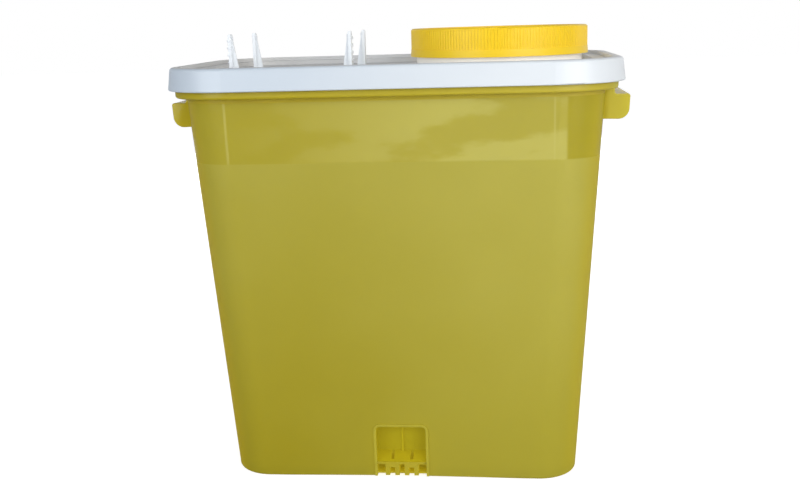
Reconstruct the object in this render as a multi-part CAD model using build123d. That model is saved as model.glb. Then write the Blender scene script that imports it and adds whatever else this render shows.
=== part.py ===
"""Sharps container: a tapered, see-through bin, a white snap-on lid with a threaded neck, a
ribbed screw cap with a sealing disc in it, and four posts that hold the cap while it is off.

Millimetres. +X runs along the long side, towards the neck. +Y runs from the front to the back.
+Z is up. The origin is on the ground, under the middle of the bin.
"""
from build123d import *
import os
from math import cos, pi, sin

# ---- Driving dimensions ----
TOTAL_HEIGHT = 276.0                    # ground to the top of the screw cap

# Bin
BASE_X, BASE_Y = 218.4, 123.2           # outside of the bin at the ground
BASE_CORNER = 24.0                      # corner radius in plan, at the ground
CORNER_GROWTH = 0.012                   # growth of that radius with height, mm per mm
DRAFT = 0.060                           # lean of each wall, mm per mm of height
WALL = 2.2
BASE_EDGE = 2.0                         # rounding between the walls and the underside
FOOT_HEIGHT = 1.5                       # the floor is raised this far inside the foot ring
FOOT_WIDTH = 9.0
FLOOR_TOP = 4.0
ARCH_CHORD, ARCH_RISE = 170.0, 1.4      # shallow arch under the long sides
BIN_TOP = 253.2

# Rim flange of the bin, with its upturned lip
FLANGE_Z = 240.0
FLANGE_THICK = 2.2
FLANGE_HALF_X, FLANGE_HALF_Y = 131.3, 83.1
FLANGE_CORNER = 37.5
FLANGE_EDGE = 1.5
LIP_TOP = 251.0
LIP_THICK = 1.8
BEAD_REACH = 0.5                        # how far a snap bead stands proud
BEAD_HEIGHT = 1.8

# Ears under the flange, one at each end
EAR_HALF_Y = 33.0
EAR_OUT_X = 140.2
EAR_BOTTOM, EAR_TOP = 220.2, 235.2
EAR_LEAN = 0.8                          # the outer face is this much further in at its foot
EAR_WEB_X = 131.0                       # the web above the ear, up to the flange
EAR_FOOT_RADIUS = 6.5
EAR_TOP_RADIUS = 1.4
EAR_WEB_RADIUS = 1.4
EAR_EDGE = 0.7                          # rounding of the edges of its front and back

# Bracket pocket at the foot of the front wall
POCKET_WIDTH = 31.0
POCKET_TOP = 35.2
POCKET_BACK_Y = -52.5
POCKET_RADIUS = 2.5
FRAME_WIDTH, FRAME_PROUD = 1.6, 0.8     # raised border round the pocket
LEDGE_TOP, LEDGE_THICK = 10.8, 1.5
LEDGE_FLAT = 1.2                        # level stretch before the ramp
RAMP_TOP = 14.9
FIN_WIDTH, FIN_PITCH = 2.8, 6.05        # comb of fins under the ledge
FIN_COUNT = 4
FIN_BOTTOM = 1.5
SILL_THICK, SILL_SETBACK = 1.2, 3.0     # floor of the pocket, behind the feet of the fins
APRON_DROP, APRON_THICK = 2.3, 1.6      # short apron under the ledge, below each ramp slot
POCKET_RIB_WIDTH, POCKET_RIB_REACH = 1.2, 1.2
RAMP_SLOT_WIDTH, RAMP_SLOT_LENGTH = 2.1, 7.0

# Lid
LID_HALF_X, LID_HALF_Y = 135.45, 87.5   # at the foot of the skirt
LID_CORNER = 42.5
SKIRT_BOTTOM, RIM_TOP = 244.5, 257.9
SKIRT_DRAFT = 1.8                       # the rim is this much further in than the skirt's foot
LID_WALL = 2.0
RIM_EDGE = 2.0
SKIRT_EDGE = 0.8                        # rounding of the skirt's foot
SKIRT_BEAD_REACH = 1.15                 # snap bead inside the skirt's foot
RIM_WIDTH = 5.5                         # flat top of the rim
STEP_DROP = 2.2                         # from the rim down to the step
STEP_WIDTH = 8.9
LID_FLOOR_TOP = 252.9
PLUG_BOTTOM = 247.0                     # foot of the wall that plugs the bin's mouth
TONGUE_CLEARANCE = 0.45                 # between the tongue and the bin's wall
TONGUE_THICK = 1.8
TONGUE_BOTTOM = 244.6
PANEL_HALF_X, PANEL_HALF_Y = 22.0, 13.0  # blank raised border on the lid's floor
PANEL_LINE, PANEL_PROUD = 1.4, 0.6

# Neck of the lid and its thread
NECK_X = 62.3
NECK_OUTER, NECK_INNER = 50.3, 47.8
NECK_TOP = 271.3
NECK_FOOT_Z = 247.0
COLLAR_RADIUS, COLLAR_TOP = 51.3, 260.0
THREAD_LEAD = 4.25
THREAD_TURNS = 1.9
THREAD_ROOT, THREAD_CREST = 2.2, 0.8    # axial widths of a ridge
THREAD_START_Z = 262.0                  # middle of a ridge where it begins
RIDGE_SINK = 0.3                        # depth of a ridge's root inside its wall

# Screw cap
CAP_BOTTOM = 259.1
CAP_BAND_RADIUS, CAP_BAND_TOP = 55.1, 263.4
CAP_BAND_FLARE = 0.3
CAP_RIB_CREST, CAP_RIB_ROOT = 54.65, 54.3
CAP_RIB_COUNT = 180
CREST_SHARE, ROOT_SHARE = 0.40, 0.30    # shares of a rib's pitch taken by its two flats
CAP_RIB_TOP = 275.2
CAP_TOP_EDGE = 1.0
CAP_BORE = 51.8
CAP_MOUTH_BORE, CAP_MOUTH_TOP = 52.6, 260.6
CAP_CEILING = 273.0
CAP_DISH_RADIUS, CAP_DISH_DEPTH = 49.5, 1.2
CAP_RING_RADIUS, CAP_RING_WIDTH, CAP_RING_PROUD = 30.0, 1.6, 0.6
CAP_THREAD_CREST_RADIUS = 50.75

# Sealing disc in the cap
LINER_RADIUS = 51.2
LINER_BOTTOM, LINER_TOP = 271.5, 272.9
LINER_RING_INNER, LINER_RING_DEPTH = 46.0, 0.4

# Posts that hold the cap while it is off
POST_X = -63.9                          # middle of the ring of posts
POST_REACH_X = 37.9                     # from the ring's middle to a post's outer face
POST_Y = 31.5                           # from the ring's middle to a post's middle
POST_TOP = 276.0
POST_THICK, POST_WIDTH = 2.0, 5.0       # along X and along Y
POST_ROUND = 0.9
POST_SINK = 1.4                         # depth of a post's foot in the lid's floor
GUSSET_FOOT, GUSSET_HEAD, GUSSET_THICK = 3.9, 0.8, 1.8
GUSSET_HEAD_Z = 271.0                   # the gusset tapers up to this height
TOOTH_REACH, TOOTH_COUNT = 0.6, 4
TOOTH_BOTTOM_Z = 259.2


# ---- Shapes used by several pieces ----
def plan(half_x, half_y, corner, z):
    """Rounded rectangle about the Z axis, at height z."""
    return Pos(0, 0, z) * RectangleRounded(2 * half_x, 2 * half_y, corner)


def block(lower, upper):
    """Solid between two plans."""
    return loft([lower, upper], ruled=True)


def upright(half_x, half_y, corner, bottom, top):
    """Rounded box with upright sides."""
    return extrude(plan(half_x, half_y, corner, bottom), top - bottom)


def bin_plan(z, inset):
    """Outline of the bin's wall at height z, moved in by inset."""
    grown = DRAFT * z - inset
    corner = BASE_CORNER + CORNER_GROWTH * z - inset
    return plan(BASE_X / 2 + grown, BASE_Y / 2 + grown, corner, z)


def bin_block(bottom, top, inset=0.0):
    return block(bin_plan(bottom, inset), bin_plan(top, inset))


def round_bottom(solid, radius):
    """Rounds the lowest edges of a solid."""
    return fillet(solid.edges().group_by(Axis.Z)[0], radius)


def across(profile, half_width):
    """Solid with an XZ profile, from -half_width to +half_width in Y."""
    return extrude(Plane.XZ * profile, half_width, both=True)


def round_corner(profile, corner, radius):
    """Rounds the corner of a flat profile that is nearest to a point."""
    return fillet(profile.vertices().sort_by_distance((*corner, 0))[0], radius)


def ridge(root_radius, crest_radius):
    """Helical ridge of the thread, about the Z axis. Its root is on root_radius."""
    height = THREAD_LEAD * THREAD_TURNS
    path = Helix(THREAD_LEAD, height, root_radius, center=(0, 0, THREAD_START_Z))
    start = Plane(origin=path @ 0, x_dir=(1, 0, 0), z_dir=path % 0)
    reach = crest_radius - root_radius
    section = start * make_face(
        Polyline(
            (0, -THREAD_ROOT / 2),
            (reach, -THREAD_CREST / 2),
            (reach, THREAD_CREST / 2),
            (0, THREAD_ROOT / 2),
            close=True,
        )
    )
    return sweep(section, path, is_frenet=True)


# ---- Bin ----
def ear():
    """Grip lug at the +X end: a box open from below, with a web up to the flange."""
    inner_x = BASE_X / 2
    web_z = FLANGE_Z + FLANGE_THICK / 2
    foot = (EAR_OUT_X - EAR_LEAN, EAR_BOTTOM)
    top = (EAR_OUT_X, EAR_TOP)
    inside = (EAR_WEB_X, EAR_TOP)
    profile = make_face(
        Polyline(
            (inner_x, EAR_BOTTOM),
            foot,
            top,
            inside,
            (EAR_WEB_X, web_z),
            (inner_x, web_z),
            close=True,
        )
    )
    profile = round_corner(profile, foot, EAR_FOOT_RADIUS)
    profile = round_corner(profile, top, EAR_TOP_RADIUS)
    profile = round_corner(profile, inside, EAR_WEB_RADIUS)
    lug = across(profile, EAR_HALF_Y)
    rows = lug.edges().group_by(Axis.Y)
    lug = fillet(rows[0] + rows[-1], EAR_EDGE)
    mouth_x = foot[0] - EAR_FOOT_RADIUS
    hollow = make_face(
        Polyline(
            (inner_x, EAR_BOTTOM - WALL),
            (mouth_x, EAR_BOTTOM - WALL),
            (mouth_x, EAR_BOTTOM + WALL),
            (foot[0] - WALL, EAR_BOTTOM + EAR_FOOT_RADIUS),
            (EAR_OUT_X - WALL, EAR_TOP - WALL),
            (EAR_WEB_X - WALL, EAR_TOP - WALL),
            (EAR_WEB_X - WALL, FLANGE_Z - WALL),
            (inner_x, FLANGE_Z - WALL),
            close=True,
        )
    )
    return lug - across(hollow, EAR_HALF_Y - WALL)


def flange():
    """Flange round the bin with an upturned lip and a snap bead on the lip."""

    def ring_block(outset, bottom, top):
        return upright(
            FLANGE_HALF_X + outset, FLANGE_HALF_Y + outset, FLANGE_CORNER + outset, bottom, top
        )

    solid = round_bottom(ring_block(0, FLANGE_Z, LIP_TOP), FLANGE_EDGE)
    bead_top = LIP_TOP - LIP_THICK
    bead = ring_block(BEAD_REACH, bead_top - BEAD_HEIGHT, bead_top)
    channel = ring_block(-LIP_THICK, FLANGE_Z + FLANGE_THICK, LIP_TOP)
    return solid + bead - channel


def pocket_profile(margin):
    """Front outline of the bracket pocket, widened by margin."""
    half = POCKET_WIDTH / 2 + margin
    top = POCKET_TOP + margin
    outline = make_face(Polyline((-half, -top), (half, -top), (half, top), (-half, top), close=True))
    return fillet(outline.vertices(), POCKET_RADIUS + margin)


def pocket_block(margin):
    """Solid that fills the pocket, from its back to in front of the bin."""
    back = Plane.XZ.offset(-POCKET_BACK_Y - margin)
    return extrude(back * pocket_profile(margin), BASE_Y / 2)


def ledge_edge_y():
    """Front edge of the pocket's ledge: on the front wall, where the ramp begins."""
    return -(BASE_Y / 2 + DRAFT * LEDGE_TOP) + LEDGE_FLAT


def ledge():
    """Ledge across the pocket with a ramp behind it and two slots in the ramp."""
    front_y, edge_y = -BASE_Y, ledge_edge_y()
    profile = make_face(
        Polyline(
            (front_y, LEDGE_TOP - LEDGE_THICK),
            (front_y, LEDGE_TOP),
            (edge_y, LEDGE_TOP),
            (POCKET_BACK_Y, RAMP_TOP),
            (POCKET_BACK_Y, RAMP_TOP - LEDGE_THICK),
            (edge_y, LEDGE_TOP - LEDGE_THICK),
            close=True,
        )
    )
    shelf = extrude(Plane.YZ * profile, POCKET_WIDTH / 2, both=True)
    apron_y = edge_y - LEDGE_FLAT + APRON_THICK
    apron_height = APRON_DROP + LEDGE_THICK
    for x in (-FIN_PITCH, FIN_PITCH):
        slot = Box(
            RAMP_SLOT_WIDTH, RAMP_SLOT_LENGTH, RAMP_TOP, align=(Align.CENTER, Align.MAX, Align.CENTER)
        )
        shelf -= Pos(x, POCKET_BACK_Y, RAMP_TOP) * slot
        apron = Box(FIN_PITCH, BASE_Y / 2, apron_height, align=(Align.CENTER, Align.MAX, Align.MAX))
        shelf += Pos(x, apron_y, LEDGE_TOP) * apron
    return shelf


def comb():
    """Fins under the ledge."""
    fin = make_face(
        Polyline(
            (-BASE_Y, FIN_BOTTOM),
            (-BASE_Y, LEDGE_TOP - LEDGE_THICK / 2),
            (ledge_edge_y(), LEDGE_TOP - LEDGE_THICK / 2),
            (POCKET_BACK_Y, RAMP_TOP - LEDGE_THICK / 2),
            (POCKET_BACK_Y, FIN_BOTTOM),
            close=True,
        )
    )
    solid = extrude(Plane.YZ * fin, FIN_WIDTH / 2, both=True)
    first_x = -FIN_PITCH * (FIN_COUNT - 1) / 2
    return [Pos(first_x + FIN_PITCH * index, 0, 0) * solid for index in range(FIN_COUNT)]


def pocket_inside(outside):
    """What stands in the pocket: the ledge, the comb, a floor and a rib up the pocket's back."""
    rib_foot = RAMP_TOP - LEDGE_THICK
    rib = Pos(0, POCKET_BACK_Y, rib_foot) * Box(
        POCKET_RIB_WIDTH,
        POCKET_RIB_REACH,
        POCKET_TOP - POCKET_RADIUS - rib_foot,
        align=(Align.CENTER, Align.MAX, Align.MIN),
    )
    sill_front = -BASE_Y / 2 + SILL_SETBACK
    sill = Pos(0, POCKET_BACK_Y, FIN_BOTTOM) * Box(
        POCKET_WIDTH,
        POCKET_BACK_Y - sill_front,
        SILL_THICK,
        align=(Align.CENTER, Align.MAX, Align.MIN),
    )
    inside = ledge() + rib + sill
    for fin in comb():
        inside += fin
    return inside & outside


def underside():
    """What is cut away under the bin: the recess inside the foot ring and the arch."""
    foot = BASE_EDGE + FOOT_WIDTH
    recess = upright(BASE_X / 2 - foot, BASE_Y / 2 - foot, BASE_CORNER - FOOT_WIDTH, 0, FOOT_HEIGHT)
    half_chord = ARCH_CHORD / 2
    arch = make_face(
        ThreePointArc((-half_chord, 0), (0, ARCH_RISE), (half_chord, 0))
        + Line((half_chord, 0), (-half_chord, 0))
    )
    return recess + across(arch, BASE_Y)


def make_bin():
    outside = round_bottom(bin_block(0, BIN_TOP), BASE_EDGE)
    body = outside + flange()
    for side in (ear(), mirror(ear(), Plane.YZ)):
        body += side
    cavity = round_bottom(bin_block(FLOOR_TOP, BIN_TOP, WALL), BASE_EDGE)
    body -= cavity - pocket_block(WALL)
    proud = bin_block(0, POCKET_TOP + 2 * FRAME_WIDTH, -FRAME_PROUD)
    body += proud & (pocket_block(FRAME_WIDTH) - Pos(0, WALL, 0) * outside)
    body -= pocket_block(0)
    body += pocket_inside(outside)
    return body - underside()


# ---- Lid ----
def lid_shell():
    """Skirt, rim, stepped floor and the wall that plugs the bin's mouth."""
    rim_x, rim_y = LID_HALF_X - SKIRT_DRAFT, LID_HALF_Y - SKIRT_DRAFT
    rim_corner = LID_CORNER - SKIRT_DRAFT
    shell = block(
        plan(LID_HALF_X, LID_HALF_Y, LID_CORNER, SKIRT_BOTTOM),
        plan(rim_x, rim_y, rim_corner, RIM_TOP),
    )
    shell = fillet(shell.edges().group_by(Axis.Z)[-1], RIM_EDGE)
    shell = round_bottom(shell, SKIRT_EDGE)
    step_z = RIM_TOP - STEP_DROP
    ceiling = step_z - LID_WALL
    shell -= block(
        plan(LID_HALF_X - LID_WALL, LID_HALF_Y - LID_WALL, LID_CORNER - LID_WALL, SKIRT_BOTTOM),
        plan(rim_x - LID_WALL, rim_y - LID_WALL, rim_corner - LID_WALL, ceiling),
    )
    inset = RIM_WIDTH
    shell -= upright(rim_x - inset, rim_y - inset, rim_corner - inset, step_z, RIM_TOP)
    inset += STEP_WIDTH
    well = (rim_x - inset, rim_y - inset, rim_corner - inset)
    plug = tuple(size + LID_WALL for size in well)
    shell += upright(*plug, PLUG_BOTTOM, step_z)
    shell -= upright(*well, LID_FLOOR_TOP, RIM_TOP)
    shell -= upright(*well, PLUG_BOTTOM, LID_FLOOR_TOP - LID_WALL)
    return shell


def tongue():
    """Sealing tongue of the lid that stands in the channel of the bin's rim."""
    grown = DRAFT * BIN_TOP + TONGUE_CLEARANCE
    half_x, half_y = BASE_X / 2 + grown, BASE_Y / 2 + grown
    corner = BASE_CORNER + CORNER_GROWTH * BIN_TOP + TONGUE_CLEARANCE
    top = RIM_TOP - STEP_DROP - LID_WALL / 2
    outer = upright(
        half_x + TONGUE_THICK, half_y + TONGUE_THICK, corner + TONGUE_THICK, TONGUE_BOTTOM, top
    )
    return outer - upright(half_x, half_y, corner, TONGUE_BOTTOM, top)


def skirt_bead():
    """Snap bead inside the foot of the skirt."""
    bottom = SKIRT_BOTTOM + SKIRT_EDGE
    top = bottom + BEAD_HEIGHT

    def ring_block(inset):
        return upright(LID_HALF_X - inset, LID_HALF_Y - inset, LID_CORNER - inset, bottom, top)

    return ring_block(LID_WALL / 2) - ring_block(LID_WALL + SKIRT_BEAD_REACH)


def neck():
    """Threaded neck with its collar."""
    wall = Pos(NECK_X, 0, NECK_FOOT_Z) * extrude(Circle(NECK_OUTER), NECK_TOP - NECK_FOOT_Z)
    wall = chamfer(wall.edges().group_by(Axis.Z)[-1], LID_WALL / 4)
    collar_bottom = LID_FLOOR_TOP - LID_WALL
    collar = Pos(NECK_X, 0, collar_bottom) * extrude(Circle(COLLAR_RADIUS), COLLAR_TOP - collar_bottom)
    collar = chamfer(collar.edges().group_by(Axis.Z)[-1], COLLAR_RADIUS - NECK_OUTER)
    thread = ridge(NECK_OUTER - RIDGE_SINK, COLLAR_RADIUS)
    return wall + collar + Pos(NECK_X, 0, 0) * thread


def blank_panel():
    """Plain raised border on the lid's floor, between the posts."""
    bottom = LID_FLOOR_TOP - LID_WALL / 2
    top = LID_FLOOR_TOP + PANEL_PROUD
    outer = upright(PANEL_HALF_X, PANEL_HALF_Y, PANEL_LINE * 2, bottom, top)
    inner = upright(PANEL_HALF_X - PANEL_LINE, PANEL_HALF_Y - PANEL_LINE, PANEL_LINE, bottom, top)
    return Pos(POST_X, 0, 0) * (outer - inner)


def make_lid(posts):
    lid = lid_shell() + tongue() + skirt_bead() + blank_panel()
    lid += neck()
    lid -= Pos(NECK_X, 0, NECK_FOOT_Z) * extrude(Circle(NECK_INNER), NECK_TOP - NECK_FOOT_Z)
    for post in posts:
        lid -= post
    return lid


# ---- Posts ----
def tooth(z):
    """Ring of thread about the middle of the ring of posts, cut later to one post."""
    corner_radius = (POST_REACH_X**2 + (POST_Y + POST_WIDTH / 2) ** 2) ** 0.5
    root = corner_radius - POST_WIDTH
    crest = corner_radius + TOOTH_REACH / 2
    profile = make_face(
        Polyline(
            (root, z - THREAD_ROOT / 2),
            (crest, z - THREAD_CREST / 2),
            (crest, z + THREAD_CREST / 2),
            (root, z + THREAD_ROOT / 2),
            close=True,
        )
    )
    return revolve(Plane.XZ * profile, Axis.Z)


def post(toothed):
    """Right rear post, about the middle of the ring: a blade with a gusset on its inner side."""
    foot_z = LID_FLOOR_TOP - POST_SINK
    height = POST_TOP - foot_z
    inner_x = POST_REACH_X - POST_THICK
    blade = Pos(inner_x, POST_Y, foot_z) * Box(
        POST_THICK, POST_WIDTH, height, align=(Align.MIN, Align.CENTER, Align.MIN)
    )
    blade = fillet(blade.edges().filter_by(Axis.Y).group_by(Axis.Z)[-1], POST_ROUND)
    gusset = make_face(
        Polyline(
            (inner_x + POST_THICK / 2, foot_z),
            (inner_x - GUSSET_FOOT, foot_z),
            (inner_x - GUSSET_FOOT, LID_FLOOR_TOP),
            (inner_x - GUSSET_HEAD, GUSSET_HEAD_Z),
            (inner_x - GUSSET_HEAD, POST_TOP - POST_THICK),
            (inner_x, POST_TOP - POST_THICK / 2),
            (inner_x + POST_THICK / 2, POST_TOP - POST_THICK / 2),
            close=True,
        )
    )
    solid = blade + Pos(0, POST_Y, 0) * across(gusset, GUSSET_THICK / 2)
    if toothed:
        reach = Pos(inner_x, POST_Y, foot_z) * Box(
            POST_THICK + TOOTH_REACH,
            POST_WIDTH + 2 * TOOTH_REACH,
            height,
            align=(Align.MIN, Align.CENTER, Align.MIN),
        )
        for index in range(TOOTH_COUNT):
            solid += reach & tooth(TOOTH_BOTTOM_Z + index * THREAD_LEAD)
    return solid


def make_posts():
    """The two posts in front carry teeth for the cap's thread, and the two behind are smooth."""
    ring = Pos(POST_X, 0, 0)
    front_right = mirror(post(toothed=True), Plane.XZ)
    rear_right = post(toothed=False)
    return {
        "cap_post_front_right": ring * front_right,
        "cap_post_front_left": ring * mirror(front_right, Plane.YZ),
        "cap_post_rear_right": ring * rear_right,
        "cap_post_rear_left": ring * mirror(rear_right, Plane.YZ),
    }


# ---- Screw cap and its sealing disc ----
def ribbed_outline():
    """Plan of the ribbed part of the cap: a flat crest and a flat root for each rib."""
    points = []
    step = 2 * pi / CAP_RIB_COUNT
    for rib in range(CAP_RIB_COUNT):
        for share, radius in (
            (-CREST_SHARE / 2, CAP_RIB_CREST),
            (CREST_SHARE / 2, CAP_RIB_CREST),
            ((1 - ROOT_SHARE) / 2, CAP_RIB_ROOT),
            ((1 + ROOT_SHARE) / 2, CAP_RIB_ROOT),
        ):
            angle = step * (rib + share)
            points.append((radius * cos(angle), radius * sin(angle)))
    return make_face(Polyline(*points, close=True))


def make_cap():
    band = Pos(0, 0, CAP_BOTTOM) * Cone(
        CAP_BAND_RADIUS,
        CAP_BAND_RADIUS - CAP_BAND_FLARE,
        CAP_BAND_TOP - CAP_BOTTOM,
        align=(Align.CENTER, Align.CENTER, Align.MIN),
    )
    ribs = Pos(0, 0, CAP_BAND_TOP) * extrude(ribbed_outline(), CAP_RIB_TOP - CAP_BAND_TOP)
    core = Pos(0, 0, CAP_BAND_TOP) * extrude(Circle(CAP_RIB_ROOT), TOTAL_HEIGHT - CAP_BAND_TOP)
    core = fillet(core.edges().group_by(Axis.Z)[-1], CAP_TOP_EDGE)
    cap = band + ribs + core
    dish_z = TOTAL_HEIGHT - CAP_DISH_DEPTH
    cap -= Pos(0, 0, dish_z) * extrude(Circle(CAP_DISH_RADIUS), CAP_DISH_DEPTH)
    ring = Circle(CAP_RING_RADIUS) - Circle(CAP_RING_RADIUS - CAP_RING_WIDTH)
    cap += Pos(0, 0, dish_z) * extrude(ring, CAP_RING_PROUD)
    cap -= Pos(0, 0, CAP_BOTTOM) * extrude(Circle(CAP_BORE), CAP_CEILING - CAP_BOTTOM)
    cap -= Pos(0, 0, CAP_BOTTOM) * extrude(Circle(CAP_MOUTH_BORE), CAP_MOUTH_TOP - CAP_BOTTOM)
    half_turn = Rot(0, 0, 180)              # the cap's ridge lies midway between the neck's
    cap += half_turn * ridge(CAP_BORE + RIDGE_SINK, CAP_THREAD_CREST_RADIUS)
    return Pos(NECK_X, 0, 0) * cap


def make_liner():
    disc = Pos(0, 0, LINER_BOTTOM) * extrude(Circle(LINER_RADIUS), LINER_TOP - LINER_BOTTOM)
    disc -= Pos(0, 0, LINER_BOTTOM) * extrude(Circle(LINER_RING_INNER), LINER_RING_DEPTH)
    return Pos(NECK_X, 0, 0) * disc


def make_parts():
    """Every piece of the container, by name."""
    posts = make_posts()
    return {
        "bin": make_bin(),
        "lid": make_lid(posts.values()),
        "screw_cap": make_cap(),
        "cap_liner": make_liner(),
        **posts,
    }


os.makedirs("parts", exist_ok=True)
for name, solid in make_parts().items():
    export_step(solid, f"parts/{name}.step")
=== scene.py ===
"""Looks of the sharps container: materials, light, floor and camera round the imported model.

Metres, in the model's own frame: +X towards the screw cap, +Y to the back, +Z up, the origin on
the ground under the middle of the bin.
"""
import math
from types import SimpleNamespace

import bpy
from mathutils import Matrix, Vector


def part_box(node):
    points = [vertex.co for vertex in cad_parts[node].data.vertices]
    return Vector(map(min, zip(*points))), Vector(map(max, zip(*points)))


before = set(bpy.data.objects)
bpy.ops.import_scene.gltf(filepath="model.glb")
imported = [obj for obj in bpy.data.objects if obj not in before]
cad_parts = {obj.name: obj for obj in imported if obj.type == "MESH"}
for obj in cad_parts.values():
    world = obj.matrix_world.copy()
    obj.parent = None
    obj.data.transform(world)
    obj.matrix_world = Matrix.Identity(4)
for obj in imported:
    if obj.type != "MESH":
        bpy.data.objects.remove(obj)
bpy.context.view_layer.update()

# ---- Camera, at the viewing angle of the reference view ----
EYE = Vector((0.0632, -0.6477, 0.2812))
YAW, PITCH, ROLL = math.radians(-5.89), math.radians(-12.80), math.radians(1.69)
SENSOR, LENS = 36.0, 45.4        # mm

# ---- Places that the finishes and the painted light follow ----
BIN_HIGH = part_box("bin")[1]
LID_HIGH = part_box("lid")[1]
CAP_LOW, CAP_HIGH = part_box("screw_cap")

EDGE_BLEND = 0.0006              # width of the step between two finishes
WALL_LEAN = 0.060                # outward lean of the bin's walls, per height
EAR_REACH, EAR_BLEND = 0.0156, 0.004                # from the side wall to the end of an ear
WALL_HALF_X = BIN_HIGH.x - EAR_REACH
POLISHED_DROP, FLANGE_DROP = 0.0512, 0.0154         # from the bin's top to the foot of each
POLISH_Z, FLANGE_Z = BIN_HIGH.z - POLISHED_DROP, BIN_HIGH.z - FLANGE_DROP
FROST_TOP_Z, SHINE_TOP_Z = 0.18, 0.24               # the wall gets lighter, and shinier, up to here
CORNER_BEND = 0.096, 0.109       # |x| where the front wall starts to turn and where the side is, at z = 0
CORNER_X, CORNER_BLEND = 0.0995, 0.002              # the polished front turns into the right corner here, and the band's painted reflections stop
REFLECTION_STREAKS = ((-0.0955, 0.0011), (0.0935, 0.0008))     # places and half-widths of the painted reflected streaks at the corners, along X

WALL_Y, WALL_MARGIN = -0.0615, 0.0002               # front of the front wall at the ground
BORDER_TOP_Z = 0.040             # the pocket's raised border lies below this height
POCKET_HALF_X, POCKET_TOP_Z = 0.0157, 0.0355
POCKET_BACK_Y = -0.0515          # inside the thickness of the pocket's back
CAVITY_FRONT_Y = -0.0598         # behind the front of the pocket's fins
RAMP_SLOPE, RAMP_Z = 0.482, 0.0387                  # underside of the ramp: its slope, its height at y = 0

CAP_WALL, NECK_RISE = 0.0026, 0.0178                # a little less than the neck's height over the floor
NECK_MIDDLE = ((CAP_LOW + CAP_HIGH) / 2).xy
NECK_RADIUS, NECK_FOOT_Z = CAP_HIGH.y - CAP_WALL, LID_HIGH.z - NECK_RISE
RIM_REACH, RECESS_RADIUS = 0.0066, 0.0358           # from the skirt to just past the rim; the corners there
RECESS_STRAIGHT = [half - RIM_REACH - RECESS_RADIUS for half in LID_HIGH.xy]
LEVEL_FROM, LEVEL_TO = 0.95, 0.99                   # upward part of the normal of a level face

# ---- Colours; two under one name are for the left end and the right end of the piece, and the change between them is painted light and shade ----
FROSTED_FOOT = (0.430, 0.370, 0.024, 1), (0.495, 0.445, 0.052, 1)
FROSTED_TOP = (0.475, 0.430, 0.048, 1), (0.565, 0.525, 0.098, 1)
# Side walls, flange and ears: painted light, lighter than the wall round them
SIDE_WALLS_LIT = (0.720, 0.545, 0.004, 1), (0.650, 0.555, 0.036, 1)
FLANGE_LIT = (0.560, 0.455, 0.014, 1), (0.690, 0.580, 0.060, 1)
EARS_LIT = (0.640, 0.530, 0.020, 1), (0.780, 0.700, 0.095, 1)
# Colour of the polished band, and of the painted reflections in it
POLISHED, POLISHED_REFLECTION = (0.470, 0.410, 0.030, 1), (0.640, 0.600, 0.150, 1)
# Colour of the painted reflected streaks at the corners
STREAK_REFLECTION = (0.700, 0.660, 0.200, 1)
# Painted highlight on the pocket's raised border
POCKET_BORDER_HIGHLIGHT = (0.535, 0.485, 0.060, 1)
POCKET = (0.380, 0.340, 0.012, 1)
# Painted light in the pocket's cavity, as of light bounced up from the floor
POCKET_CAVITY_PAINTED_LIGHT = (0.550, 0.500, 0.045, 1)
# Colour of the pocket's painted glow
POCKET_GLOW = (1.0, 0.79, 0.03, 1)
BIN_GLOW = (0.900, 0.820, 0.090, 1)
# The lid's white, tinted blue by painted cool light; level faces and the recess get painted grey shade,
# lighter at the right
LID_UPRIGHT = (0.485, 0.552, 0.628, 1), (0.670, 0.710, 0.750, 1)
LID_LEVEL_LIGHT_AND_SHADE = (0.580, 0.580, 0.575, 1), (0.780, 0.800, 0.840, 1)
# The posts' white, painted lighter than the lid's
POST_LIT = (0.780, 0.820, 0.860, 1)
# The neck's white, painted warm and light as if lit by the yellow cap, and the colour of its painted glow
NECK_LIT, NECK_GLOW = (0.920, 0.905, 0.885, 1), (1.0, 0.98, 0.94, 1)
CAP_DARK, CAP_LIGHT = (0.810, 0.550, 0.010, 1), (0.850, 0.590, 0.016, 1)
SEAL_DARK, SEAL_LIGHT = (0.580, 0.580, 0.560, 1), (0.660, 0.660, 0.630, 1)
PAPER_DARK, PAPER_LIGHT = (0.580, 0.580, 0.580, 1), (0.620, 0.620, 0.620, 1)
LEFT_SKY, RIGHT_SKY = (0.580, 0.600, 0.630, 1), (0.900, 0.900, 0.900, 1)
WHITE = (1, 1, 1, 1)

# ---- Finishes and painted light ----
PLASTIC_IOR = 1.49
SEE_THROUGH = 0.42               # share of the light that the bin's plastic lets through
POCKET_LIGHT = 0.19              # strength of the painted glow in the pocket, standing in for light that seeps through the plastic round it
NECK_LIGHT = 0.06                # strength of the painted glow on the neck, standing in for light that its thin wall passes on
FROSTED_ROUGHNESS, POLISHED_ROUGHNESS = 0.42, 0.09  # of the bin
UPRIGHT_ROUGHNESS, LEVEL_ROUGHNESS = 0.32, 0.55     # of the white plastic
CAP_ROUGHNESS = 0.34, 0.44
SEAL_ROUGHNESS, PAPER_ROUGHNESS = 0.75, 0.8
FLANGE_POLISH = 0.4              # polish of the flange, as a share of the band's
SIDE_SHARE = 0.8                 # share of the side walls' painted light colour
# Strength of the painted reflected streaks
REFLECTION_STREAK_SHARE = 0.5
REFLECTION_CLOUD_SHARE = 0.6                # share of the polished band's painted reflection that is cloudy
BIN_WAVER, LID_WAVER = 0.2, 0.06                    # unevenness of the painted light's change from left to right
SCUFFING = 0.10                  # roughness that scuffs and wear add
SHINE_AT_FOOT, SHINE_AT_RIM = 0.16, 0.50
CAP_SHINE = 0.3
NOISE_LOW, NOISE_HIGH = 0.3, 0.7                    # nearly all of a noise lies between these

# ---- Studio ----
FLOOR_SIZE = 12.0
FLOOR_LIGHT = 0.76               # light that the floor adds for the camera alone
SKY_TURN = 0.8                   # the sky changes from left to right between x directions -this and this
SKY_DIMS_FROM = 0.2              # share of the way up where the sky starts to dim
ZENITH_SHARE = 0.19              # brightness straight overhead, as a share of that at the horizon


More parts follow.
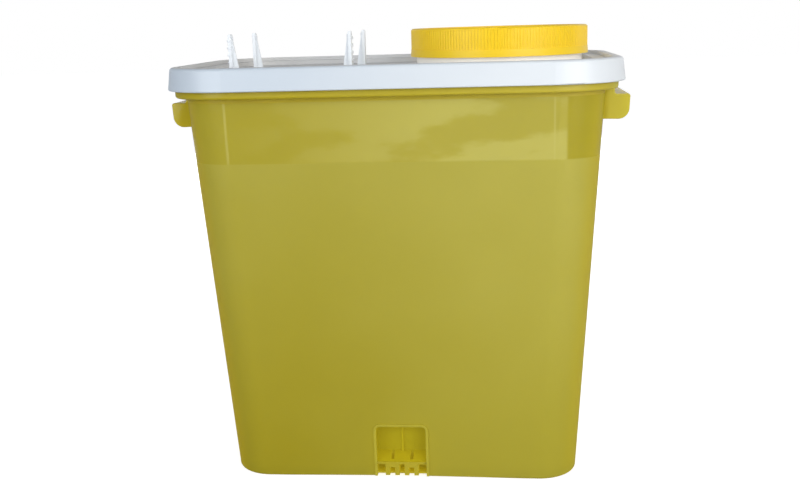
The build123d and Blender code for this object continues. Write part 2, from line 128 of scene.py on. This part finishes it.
class Nodes:
    """A node tree under construction."""

    def __init__(self, tree, output, coordinates):
        self.tree = tree
        tree.nodes.clear()
        self.output = self.node(output)
        self.place = self.node("ShaderNodeTexCoord").outputs[coordinates]

    def node(self, kind, **settings):
        made = self.tree.nodes.new(kind)
        for key, value in settings.items():
            setattr(made, key, value)
        return made

    def feed(self, socket, value):
        """Links an output to a socket, or sets the socket's own value."""
        if isinstance(value, bpy.types.NodeSocket):
            self.tree.links.new(value, socket)
        else:
            socket.default_value = value

    def maths(self, operation, first, second=0.0):
        made = self.node("ShaderNodeMath", operation=operation)
        self.feed(made.inputs[0], first)
        self.feed(made.inputs[1], second)
        return made.outputs[0]

    def product(self, *values):
        """All the values multiplied together."""
        result = values[0]
        for value in values[1:]:
            result = self.maths("MULTIPLY", result, value)
        return result

    def hypotenuse(self, first, second):
        squares = [self.product(side, side) for side in (first, second)]
        return self.maths("SQRT", self.maths("ADD", *squares))

    def spread(self, value, low, high, to_low=0.0, to_high=1.0):
        """Smooth step from to_low to to_high while value goes from low to high."""
        made = self.node("ShaderNodeMapRange", interpolation_type="SMOOTHSTEP")
        for socket, given in zip(made.inputs, (value, low, high, to_low, to_high)):
            self.feed(socket, given)
        return made.outputs["Result"]

    def within(self, value, half_width):
        """1 where a value lies within half_width of 0, and 0 elsewhere."""
        return self.maths("LESS_THAN", self.maths("ABSOLUTE", value), half_width)

    def noise(self, scale, detail=3.0, roughness=0.5, stretch=None):
        made = self.node("ShaderNodeTexNoise")
        place = self.place
        if stretch:
            mapping = self.node("ShaderNodeMapping")
            self.feed(mapping.inputs["Vector"], place)
            self.feed(mapping.inputs["Scale"], stretch)
            place = mapping.outputs["Vector"]
        self.feed(made.inputs["Vector"], place)
        self.feed(made.inputs["Scale"], scale)
        self.feed(made.inputs["Detail"], detail)
        self.feed(made.inputs["Roughness"], roughness)
        return made.outputs["Fac"]

    def left_to_right(self, half_width, noise, waver):
        """0 at the left end and 1 at the right end, uneven by up to waver."""
        uneven = self.spread(noise, NOISE_LOW, NOISE_HIGH, -waver, waver)
        return self.maths("ADD", self.spread(self.axes()[0], -half_width, half_width), uneven)

    def axes(self, vector=None):
        """X, Y and Z of a vector, or of the place on the surface if none is given."""
        made = self.node("ShaderNodeSeparateXYZ")
        self.feed(made.inputs[0], self.place if vector is None else vector)
        return made.outputs

    def blend(self, share, first, second):
        """Colour between two, by share. A Mix node has sockets of the same name for numbers first."""
        made = self.node("ShaderNodeMix", data_type="RGBA")
        first_colour, second_colour = made.inputs[6:8]
        self.feed(made.inputs["Factor"], share)
        self.feed(first_colour, first)
        self.feed(second_colour, second)
        return made.outputs[2]

    def bump(self, height, distance, strength=1.0, normal=None):
        made = self.node("ShaderNodeBump")
        self.feed(made.inputs["Distance"], distance)
        self.feed(made.inputs["Strength"], strength)
        self.feed(made.inputs["Height"], height)
        if normal is not None:
            self.feed(made.inputs["Normal"], normal)
        return made.outputs["Normal"]

    def plastic(self, **sockets):
        """Principled surface; an underscore stands for the space in a socket's name."""
        made = self.node("ShaderNodeBsdfPrincipled")
        for key, value in sockets.items():
            self.feed(made.inputs[key.replace("_", " ")], value)
        return made.outputs[0]

    def mix(self, share, first, second):
        """One shader mixed into another, by share."""
        made = self.node("ShaderNodeMixShader")
        for socket, given in zip(made.inputs, (share, first, second)):
            self.feed(socket, given)
        return made.outputs[0]

    def glow(self, colour):
        """Light that comes through from behind the surface."""
        made = self.node("ShaderNodeBsdfTranslucent")
        self.feed(made.inputs["Color"], colour)
        return made.outputs[0]

    def sky(self, colour, strength=1.0):
        made = self.node("ShaderNodeBackground")
        self.feed(made.inputs["Color"], colour)
        self.feed(made.inputs["Strength"], strength)
        return made.outputs[0]

    def seen_by_camera(self):
        return self.node("ShaderNodeLightPath").outputs["Is Camera Ray"]

    def finish(self, shader):
        self.feed(self.output.inputs["Surface"], shader)


def new_material(name):
    material = bpy.data.materials.new(name)
    material.use_nodes = True
    return material, Nodes(material.node_tree, "ShaderNodeOutputMaterial", "Object")


# ---- The bin ----
def bin_regions(s):
    """Masks of the bin's regions, each 1 inside its region and 0 outside it."""
    x, y, z = s.axes()
    off_centre = s.maths("ABSOLUTE", x)
    behind_wall = s.maths("SUBTRACT", s.maths("ADD", y, s.product(z, WALL_LEAN)), WALL_Y)
    pocket = s.product(
        s.within(x, POCKET_HALF_X),
        s.maths("GREATER_THAN", behind_wall, WALL_MARGIN),
        s.maths("LESS_THAN", y, POCKET_BACK_Y),
        s.maths("LESS_THAN", z, POCKET_TOP_Z),
    )
    return SimpleNamespace(
        polish=s.spread(z, POLISH_Z - EDGE_BLEND, POLISH_Z + EDGE_BLEND),
        side=s.spread(s.maths("SUBTRACT", off_centre, s.product(z, WALL_LEAN)), *CORNER_BEND),
        flange=s.spread(z, FLANGE_Z - EDGE_BLEND, FLANGE_Z),
        ears=s.spread(off_centre, WALL_HALF_X, WALL_HALF_X + EAR_BLEND),
        border=s.product(
            s.maths("LESS_THAN", behind_wall, -WALL_MARGIN),
            s.maths("LESS_THAN", z, BORDER_TOP_Z),
        ),
        pocket=pocket,
        cavity=s.product(
            pocket,
            s.maths("LESS_THAN", s.maths("SUBTRACT", z, s.product(y, RAMP_SLOPE)), RAMP_Z),
            s.maths("GREATER_THAN", y, CAVITY_FRONT_Y),
        ),
    )


def bin_colour(s, region):
    """Olive yellow, lighter upwards, with painted light: lighter to the right, lighter on the side walls,
    flange and ears, a painted highlight on the pocket's border and painted light in its cavity.
    """
    # Painted light: the wall's colours turn lighter towards the right.
    painted_light_across = s.left_to_right(WALL_HALF_X, s.noise(9.0, detail=2.0), BIN_WAVER)
    foot, top = s.blend(painted_light_across, *FROSTED_FOOT), s.blend(painted_light_across, *FROSTED_TOP)
    frosted = s.blend(s.spread(s.axes()[2], 0.0, FROST_TOP_Z), foot, top)
    colour = s.blend(region.polish, frosted, polished_with_reflections(s))
    # Painted light on the side walls, the flange and the ears.
    for place, pair in (
        (s.product(region.side, SIDE_SHARE), SIDE_WALLS_LIT),
        (region.flange, FLANGE_LIT),
        (region.ears, EARS_LIT),
    ):
        colour = s.blend(place, colour, s.blend(painted_light_across, *pair))
    # Painted highlight on the pocket's border, the pocket's plain colour, and painted light in its cavity.
    for place, plain in (
        (region.border, POCKET_BORDER_HIGHLIGHT),
        (region.pocket, POCKET),
        (region.cavity, POCKET_CAVITY_PAINTED_LIGHT),
    ):
        colour = s.blend(place, colour, plain)
    return colour


def polished_with_reflections(s):
    """Colour of the polished band with painted reflections: soft clouds, lighter to the right, and painted
    reflected streaks at both corners.
    """
    x = s.axes()[0]
    # Painted reflections: soft clouds, lighter towards the right, stopping at the right corner.
    reflected_clouds = s.spread(s.noise(12.0, detail=5.0, stretch=(1.0, 1.0, 2.4)), 0.46, 0.53)
    painted_reflection = s.product(
        s.maths("ADD", s.product(reflected_clouds, REFLECTION_CLOUD_SHARE), 1 - REFLECTION_CLOUD_SHARE),
        s.spread(x, -WALL_HALF_X, WALL_HALF_X / 2),
        s.spread(x, CORNER_X, CORNER_X + CORNER_BLEND, 1.0, 0.0),
    )
    colour = s.blend(painted_reflection, POLISHED, POLISHED_REFLECTION)
    # Painted reflected streaks where the front starts to turn into each corner.
    for place, half_width in REFLECTION_STREAKS:
        away = s.maths("ABSOLUTE", s.maths("SUBTRACT", x, place))
        reflection_streak = s.spread(away, half_width / 3, half_width, 1.0, 0.0)
        colour = s.blend(s.product(reflection_streak, REFLECTION_STREAK_SHARE), colour, STREAK_REFLECTION)
    return colour


def bin_roughness(s, region):
    """Frosted or polished, with upright scuffs."""
    polish = s.maths("SUBTRACT", region.polish, s.product(region.flange, 1 - FLANGE_POLISH))
    base = s.spread(polish, 0.0, 1.0, FROSTED_ROUGHNESS, POLISHED_ROUGHNESS)
    scuffs = s.spread(s.noise(160.0, detail=5.0, roughness=0.7, stretch=(1.0, 1.0, 0.12)), 0.56, 0.78)
    return s.maths("ADD", base, s.product(scuffs, SCUFFING))


def bin_relief(s, region):
    """Slow ripples in the polished band and a fine grain in the frosted wall."""
    ripples = s.noise(22.0, detail=1.0, stretch=(1.0, 1.0, 0.35))
    rippled = s.bump(ripples, distance=0.0022, strength=region.polish)
    frosting = s.maths("SUBTRACT", 1.0, region.polish)
    return s.bump(s.noise(2600.0, detail=2.0), distance=0.00005, strength=frosting, normal=rippled)


def bin_plastic():
    """See-through olive yellow: frosted low down, polished in a band under the rim."""
    material, s = new_material("bin_plastic")
    region = bin_regions(s)
    skin = s.plastic(
        Base_Color=bin_colour(s, region),
        Roughness=bin_roughness(s, region),
        IOR=PLASTIC_IOR,
        Specular_IOR_Level=s.spread(s.axes()[2], 0.0, SHINE_TOP_Z, SHINE_AT_FOOT, SHINE_AT_RIM),
        # Painted glow in the pocket, standing in for light that seeps through the plastic.
        Emission_Color=POCKET_GLOW,
        Emission_Strength=s.product(region.pocket, POCKET_LIGHT),
        Normal=bin_relief(s, region),
    )
    s.finish(s.mix(SEE_THROUGH, skin, s.glow(BIN_GLOW)))
    return material


# ---- The lid, the posts and the cap ----
def level_faces(s):
    """1 on faces that are level and look up, and 0 elsewhere."""
    normal = s.node("ShaderNodeNewGeometry").outputs["True Normal"]
    return s.spread(s.axes(normal)[2], LEVEL_FROM, LEVEL_TO)


def inside_rim(s):
    """1 in the recess inside the lid's rim, a rectangle with round corners, and 0 elsewhere."""
    past_straight = [
        s.maths("MAXIMUM", s.maths("SUBTRACT", s.maths("ABSOLUTE", here), straight), 0.0)
        for here, straight in zip(s.axes(), RECESS_STRAIGHT)
    ]
    return s.maths("LESS_THAN", s.hypotenuse(*past_straight), RECESS_RADIUS)


def on_neck(s):
    """1 on the lid's neck and 0 elsewhere."""
    from_axis = [s.maths("SUBTRACT", here, middle) for here, middle in zip(s.axes(), NECK_MIDDLE)]
    return s.product(
        s.maths("LESS_THAN", s.hypotenuse(*from_axis), NECK_RADIUS),
        s.maths("GREATER_THAN", s.axes()[2], NECK_FOOT_Z),
    )


def satin(s, colour, level, **glow):
    """Satin plastic, duller on level faces and where it is worn."""
    wear = s.spread(s.noise(220.0, detail=4.0), 0.55, 0.75)
    base = s.spread(level, 0.0, 1.0, UPRIGHT_ROUGHNESS, LEVEL_ROUGHNESS)
    return s.plastic(
        Base_Color=colour,
        Roughness=s.maths("ADD", base, s.product(wear, SCUFFING)),
        IOR=PLASTIC_IOR,
        Normal=s.bump(s.noise(1500.0), distance=0.00001),
        **glow,
    )


def lid_plastic():
    """White tinted blue by painted cool light and lighter to the right by painted light; painted grey shade
    on level faces and inside the rim, lighter at the right; painted warm light and glow on the neck's thin
    wall.
    """
    material, s = new_material("lid_plastic")
    # Painted light: the white turns lighter towards the right.
    painted_light_across = s.left_to_right(LID_HIGH.x, s.noise(14.0), LID_WAVER)
    level, neck = level_faces(s), on_neck(s)
    # Painted shade and light on level faces and in the recess inside the rim.
    painted_shade_and_light = s.maths("MAXIMUM", level, inside_rim(s))
    white = s.blend(painted_shade_and_light, s.blend(painted_light_across, *LID_UPRIGHT), s.blend(painted_light_across, *LID_LEVEL_LIGHT_AND_SHADE))
    # Painted warm light and a painted glow on the neck.
    glow = {"Emission_Color": NECK_GLOW, "Emission_Strength": s.product(neck, NECK_LIGHT)}
    s.finish(satin(s, s.blend(neck, white, NECK_LIT), level, **glow))
    return material


def post_plastic():
    """The posts' white, painted lighter than the lid's as painted light."""
    material, s = new_material("post_plastic")
    s.finish(satin(s, POST_LIT, level_faces(s)))
    return material


def yellow_plastic():
    """Opaque warm yellow of the screw cap."""
    material, s = new_material("cap_plastic")
    s.finish(
        s.plastic(
            Base_Color=s.blend(s.noise(40.0), CAP_DARK, CAP_LIGHT),
            Roughness=s.spread(s.noise(300.0, detail=4.0), 0.3, 0.8, *CAP_ROUGHNESS),
            IOR=PLASTIC_IOR,
            Specular_IOR_Level=CAP_SHINE,
            Normal=s.bump(s.noise(1800.0), distance=0.00001),
        )
    )
    return material


def seal_rubber():
    """Soft pale seal."""
    material, s = new_material("liner_rubber")
    colour = s.blend(s.noise(120.0), SEAL_DARK, SEAL_LIGHT)
    relief = s.bump(s.noise(2500.0), distance=0.00004)
    s.finish(s.plastic(Base_Color=colour, Roughness=SEAL_ROUGHNESS, Normal=relief))
    return material


def dress(names, material):
    for name in names:
        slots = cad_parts[name].data.materials
        slots.clear()
        slots.append(material)


def dress_container():
    dress(["bin"], bin_plastic())
    dress(["lid"], lid_plastic())
    dress([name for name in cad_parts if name.startswith("cap_post")], post_plastic())
    dress(["screw_cap"], yellow_plastic())
    dress(["cap_liner"], seal_rubber())


# ---- Studio ----
def paper():
    """Bright seamless paper of the floor."""
    material, s = new_material("floor")
    s.finish(
        s.plastic(
            Base_Color=s.blend(s.noise(3.0), PAPER_DARK, PAPER_LIGHT),
            Roughness=PAPER_ROUGHNESS,
            Emission_Color=WHITE,
            Emission_Strength=s.product(s.seen_by_camera(), FLOOR_LIGHT),
        )
    )
    return material


def build_floor():
    bpy.ops.mesh.primitive_plane_add(size=FLOOR_SIZE)
    floor = bpy.context.object
    floor.name = "floor"
    floor.data.materials.append(paper())


def build_sky():
    """Soft surroundings, brighter to the right and dimmer overhead; plain white to the camera."""
    world = bpy.data.worlds.new("studio")
    bpy.context.scene.world = world
    world.use_nodes = True
    s = Nodes(world.node_tree, "ShaderNodeOutputWorld", "Generated")
    x, _, z = s.axes()
    tone = s.blend(s.spread(x, -SKY_TURN, SKY_TURN), LEFT_SKY, RIGHT_SKY)
    soft = s.sky(tone, s.spread(z, SKY_DIMS_FROM, 1.0, 1.0, ZENITH_SHARE))
    s.finish(s.mix(s.seen_by_camera(), soft, s.sky(WHITE)))


def lamp(name, place, aim_z, size, watts, colour, shines=True):
    """Soft rectangular light aimed at the container; if it doesn't shine, reflections leave it out."""
    data = bpy.data.lights.new(name, "AREA")
    data.shape = "RECTANGLE"
    data.size, data.size_y = size
    data.energy = watts
    data.color = colour
    made = bpy.data.objects.new(name, data)
    bpy.context.scene.collection.objects.link(made)
    made.visible_glossy = shines
    made.location = place
    made.rotation_euler = (Vector((0, 0, aim_z)) - made.location).to_track_quat("-Z", "Y").to_euler()


def build_light():
    """A warm key in front to the right, a cool fill in front to the left, and one for the back."""
    lamp(
        "key",
        place=(0.85, -1.15, 0.55),
        aim_z=0.18,
        size=(1.1, 0.9),
        watts=12.5,
        colour=(1.0, 0.98, 0.95),
    )
    lamp(
        "fill",
        place=(-1.0, -1.3, 0.5),
        aim_z=0.15,
        size=(1.1, 0.9),
        watts=10.5,
        colour=(0.94, 0.97, 1.0),
    )
    lamp(
        "back",
        place=(-0.4, 1.6, 0.35),
        aim_z=0.14,
        size=(1.4, 0.9),
        watts=14.0,
        colour=(1.0, 1.0, 1.0),
        shines=False,
    )


def build_camera():
    """Camera at EYE, turned by YAW from +Y, then tilted by PITCH and rolled by ROLL."""
    forward = Vector((math.sin(YAW) * math.cos(PITCH), math.cos(YAW) * math.cos(PITCH), math.sin(PITCH)))
    level = Vector((math.cos(YAW), -math.sin(YAW), 0.0))
    upward = level.cross(forward)
    right = math.cos(ROLL) * level - math.sin(ROLL) * upward
    top = math.sin(ROLL) * level + math.cos(ROLL) * upward
    data = bpy.data.cameras.new("camera")
    data.sensor_width = SENSOR
    data.lens = LENS
    camera = bpy.data.objects.new("camera", data)
    bpy.context.scene.collection.objects.link(camera)
    camera.matrix_world = Matrix.Translation(EYE) @ Matrix((right, top, -forward)).transposed().to_4x4()
    bpy.context.scene.camera = camera


build_camera()
build_sky()
build_light()
build_floor()
bpy.context.scene.view_settings.view_transform = "Standard"
dress_container()
